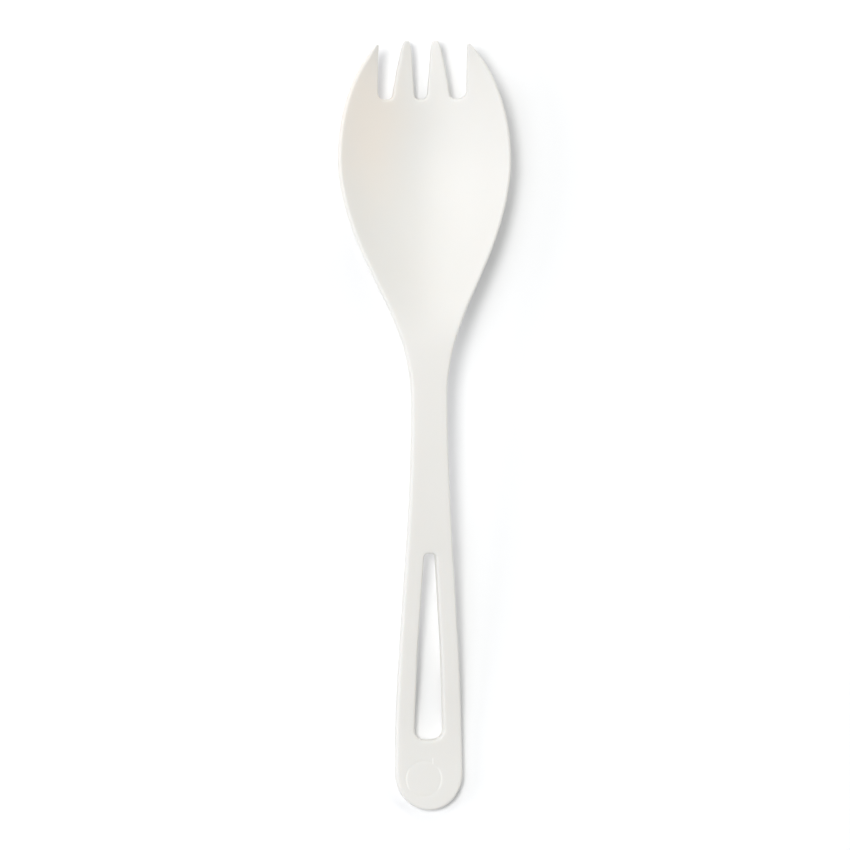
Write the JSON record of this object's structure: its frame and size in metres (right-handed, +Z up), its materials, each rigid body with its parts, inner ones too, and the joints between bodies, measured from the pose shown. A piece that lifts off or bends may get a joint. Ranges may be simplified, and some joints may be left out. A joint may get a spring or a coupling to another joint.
{
  "type": "spork",
  "caption": "Moulded plastic spork: a shallow spoon bowl that ends in tines, on a slim arched handle with a tapered slot.",
  "frame": {"origin": "bottom centre of the bounding box: on the surface that the spork lies on, halfway along and across", "axes": "+X across to the right, +Y along the spork from the handle end to the tines, +Z up, out of the bowl's hollow"},
  "size_m": [0.0342, 0.1524, 0.0104],
  "materials": {
    "moulded_plastic": "warm off-white moulded bioplastic with a satin mould finish, slightly translucent at thin edges"
  },
  "bodies": {
    "root": {"spork": "moulded_plastic"}
  },
  "joints": []
}
